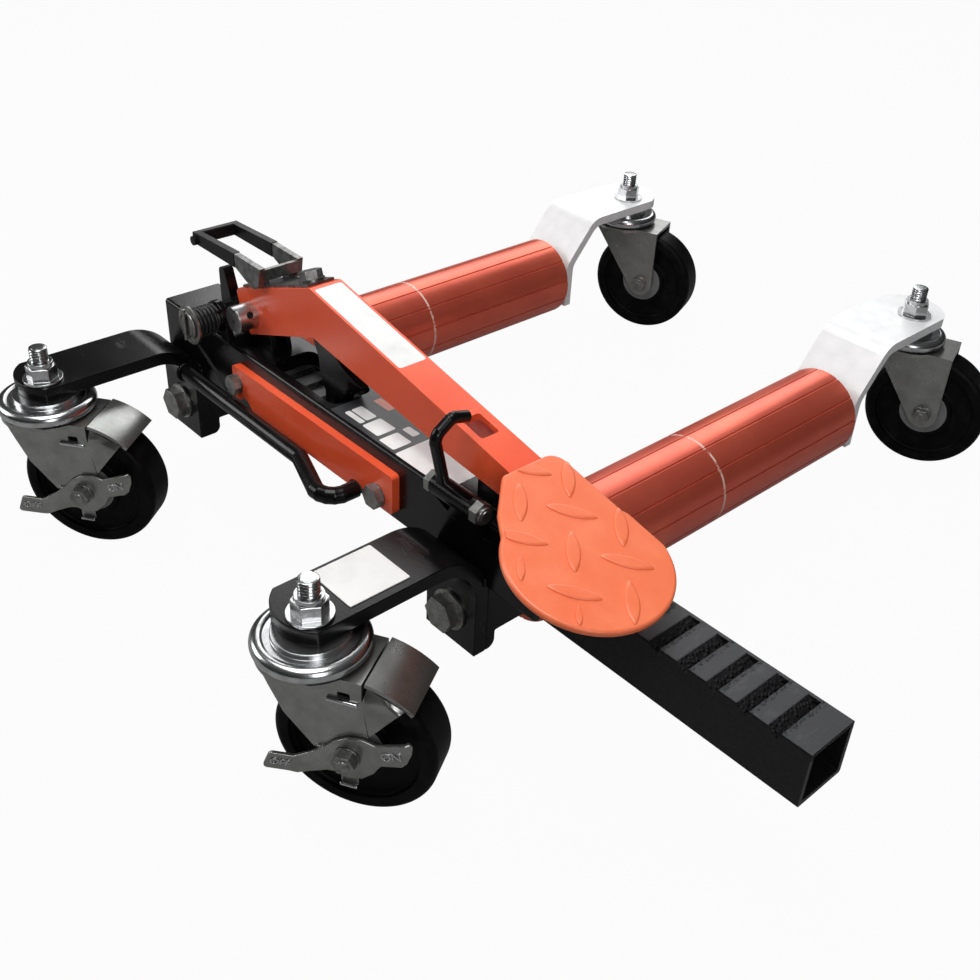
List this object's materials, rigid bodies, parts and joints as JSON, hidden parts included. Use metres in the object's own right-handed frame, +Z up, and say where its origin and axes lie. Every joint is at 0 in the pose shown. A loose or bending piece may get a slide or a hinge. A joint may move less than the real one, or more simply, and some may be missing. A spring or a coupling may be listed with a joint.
{
  "type": "vehicle positioning jack",
  "caption": "Wheel-lifting positioning jack: two red rollers on a toothed sliding bar, closed under a tyre by an orange foot pedal with ratchet pawls, on swivel casters.",
  "frame": {"origin": "middle of the underside of the whole jack's box, on the floor", "axes": "+X along the toothed bar towards its free end, +Y along the rollers away from the pedal side, +Z up"},
  "size_m": [0.6225, 0.7004, 0.2287],
  "materials": {
    "frame_black": "satin",
    "rack_black": "satin",
    "orange_paint": "gloss",
    "salmon_paint": "satin",
    "roller_red": "satin",
    "plug_black": "matte",
    "galvanised": "matte",
    "zinc_sheet": "satin",
    "zinc_bright": "gloss",
    "bolt_zinc": "satin",
    "pin_steel": "satin",
    "spring_black": "satin",
    "tyre_black": "matte",
    "hub_grey": "matte",
    "strip_steel": "satin",
    "dipped_grip": "satin",
    "blank_white": "satin"
  },
  "bodies": {
    "sleeve_half": {"sleeve": "frame_black", "pivot_plates": "frame_black", "pawl_ears": "frame_black", "pedal_rest": "frame_black", "guard_bar": "orange_paint", "guard_bolts": "bolt_zinc", "bracket_b": "frame_black", "near_arm_b": "frame_black", "blank_plate": "blank_white", "far_arm_b": "galvanised", "axle_b": "bolt_zinc", "stem_near_b": "zinc_bright", "stem_far_b": "zinc_bright", "pawl_shaft": "bolt_zinc", "shaft_clip": "bolt_zinc", "pawl_spring": "spring_black", "pivot_pin": "pin_steel", "hook_hinge": "frame_black"},
    "sliding_half": {"rack_bar": "rack_black", "slider_block": "frame_black", "bracket_a": "frame_black", "near_arm_a": "frame_black", "far_arm_a": "galvanised", "axle_a": "bolt_zinc", "stem_near_a": "zinc_bright", "stem_far_a": "zinc_bright", "guide_rod": "frame_black"},
    "turning_roller_a": {"roller_a": "roller_red", "plugs_a": "plug_black"},
    "turning_roller_b": {"roller_b": "roller_red", "plugs_b": "plug_black"},
    "swivel_near_a": {"fork_near_a": "zinc_sheet", "bolt_near_a": "bolt_zinc"},
    "wheel_near_a": {"tyre_near_a": "tyre_black", "hub_near_a": "hub_grey"},
    "swivel_near_b": {"fork_near_b": "zinc_sheet", "bolt_near_b": "bolt_zinc"},
    "wheel_near_b": {"tyre_near_b": "tyre_black", "hub_near_b": "hub_grey"},
    "swivel_far_a": {"fork_far_a": "zinc_sheet", "bolt_far_a": "bolt_zinc"},
    "wheel_far_a": {"tyre_far_a": "tyre_black", "hub_far_a": "hub_grey"},
    "swivel_far_b": {"fork_far_b": "zinc_sheet", "bolt_far_b": "bolt_zinc"},
    "wheel_far_b": {"tyre_far_b": "tyre_black", "hub_far_b": "hub_grey"},
    "brake_lever_a": {"brake_a": "zinc_sheet"},
    "brake_lever_b": {"brake_b": "zinc_sheet"},
    "foot_pedal": {"pedal_channel": "orange_paint", "foot_plate": "salmon_paint", "pedal_strip": "strip_steel"},
    "drive_pawl_body": {"drive_pawl": "frame_black"},
    "holding_pawl_body": {"holding_pawl": "frame_black"},
    "release_body": {"release_lever": "strip_steel", "lever_grip": "dipped_grip"},
    "catch_body": {"catch_hook": "frame_black"}
  },
  "joints": [
    {"name": "rack_slide", "type": "slide", "parent": "sleeve_half", "child": "sliding_half", "axis": [1, 0, 0], "range_m": [-0.13, 0]},
    {"name": "roller_a_spin", "type": "hinge", "parent": "sliding_half", "child": "turning_roller_a", "pos_m": [-0.27475, 0.02961, 0.069], "axis": [0, 1, 0], "continuous": true},
    {"name": "roller_b_spin", "type": "hinge", "parent": "sleeve_half", "child": "turning_roller_b", "pos_m": [0.05725, 0.02961, 0.069], "axis": [0, 1, 0], "continuous": true},
    {"name": "swivel_near_a_turn", "type": "hinge", "parent": "sliding_half", "child": "swivel_near_a", "pos_m": [-0.26675, -0.31239, 0.104], "axis": [0, 0, 1], "continuous": true},
    {"name": "wheel_near_a_roll", "type": "hinge", "parent": "swivel_near_a", "child": "wheel_near_a", "pos_m": [-0.24249, -0.29424, 0.0508], "axis": [-0.599, 0.8007, 0], "continuous": true},
    {"name": "brake_a_press", "type": "hinge", "parent": "swivel_near_a", "child": "brake_lever_a", "pos_m": [-0.24249, -0.29424, 0.0508], "axis": [-0.599, 0.8007, 0], "range_deg": [0, 25]},
    {"name": "swivel_near_b_turn", "type": "hinge", "parent": "sleeve_half", "child": "swivel_near_b", "pos_m": [0.06525, -0.31239, 0.104], "axis": [0, 0, 1], "continuous": true},
    {"name": "wheel_near_b_roll", "type": "hinge", "parent": "swivel_near_b", "child": "wheel_near_b", "pos_m": [0.09138, -0.29706, 0.0508], "axis": [-0.506, 0.8625, 0], "continuous": true},
    {"name": "brake_b_press", "type": "hinge", "parent": "swivel_near_b", "child": "brake_lever_b", "pos_m": [0.09138, -0.29706, 0.0508], "axis": [-0.506, 0.8625, 0], "range_deg": [0, 25]},
    {"name": "swivel_far_a_turn", "type": "hinge", "parent": "sliding_half", "child": "swivel_far_a", "pos_m": [-0.26405, 0.30861, 0.104], "axis": [0, 0, 1], "continuous": true},
    {"name": "wheel_far_a_roll", "type": "hinge", "parent": "swivel_far_a", "child": "wheel_far_a", "pos_m": [-0.23576, 0.31947, 0.0508], "axis": [-0.3584, 0.9336, 0], "continuous": true},
    {"name": "swivel_far_b_turn", "type": "hinge", "parent": "sleeve_half", "child": "swivel_far_b", "pos_m": [0.06795, 0.30861, 0.104], "axis": [0, 0, 1], "continuous": true},
    {"name": "wheel_far_b_roll", "type": "hinge", "parent": "swivel_far_b", "child": "wheel_far_b", "pos_m": [0.09656, 0.31857, 0.0508], "axis": [-0.3289, 0.9444, 0], "continuous": true},
    {"name": "pedal_lift", "type": "hinge", "parent": "sleeve_half", "child": "foot_pedal", "pos_m": [-0.19075, -0.17039, 0.173], "axis": [0, -1, 0], "range_deg": [0, 40]},
    {"name": "drive_pawl_swing", "type": "hinge", "parent": "foot_pedal", "child": "drive_pawl_body", "pos_m": [-0.12075, -0.17039, 0.2], "axis": [0, -1, 0], "range_deg": [0, 7]},
    {"name": "holding_pawl_lift", "type": "hinge", "parent": "sleeve_half", "child": "holding_pawl_body", "pos_m": [-0.22175, -0.17039, 0.162], "axis": [0, -1, 0], "range_deg": [0, 15]},
    {"name": "release_press", "type": "hinge", "parent": "foot_pedal", "child": "release_body", "pos_m": [-0.17647, -0.17039, 0.20645], "axis": [0, -1, 0], "range_deg": [0, 10]},
    {"name": "catch_swing", "type": "hinge", "parent": "sleeve_half", "child": "catch_body", "pos_m": [0.06125, -0.20139, 0.1575], "axis": [1, 0, 0], "range_deg": [-27, 75]}
  ]
}
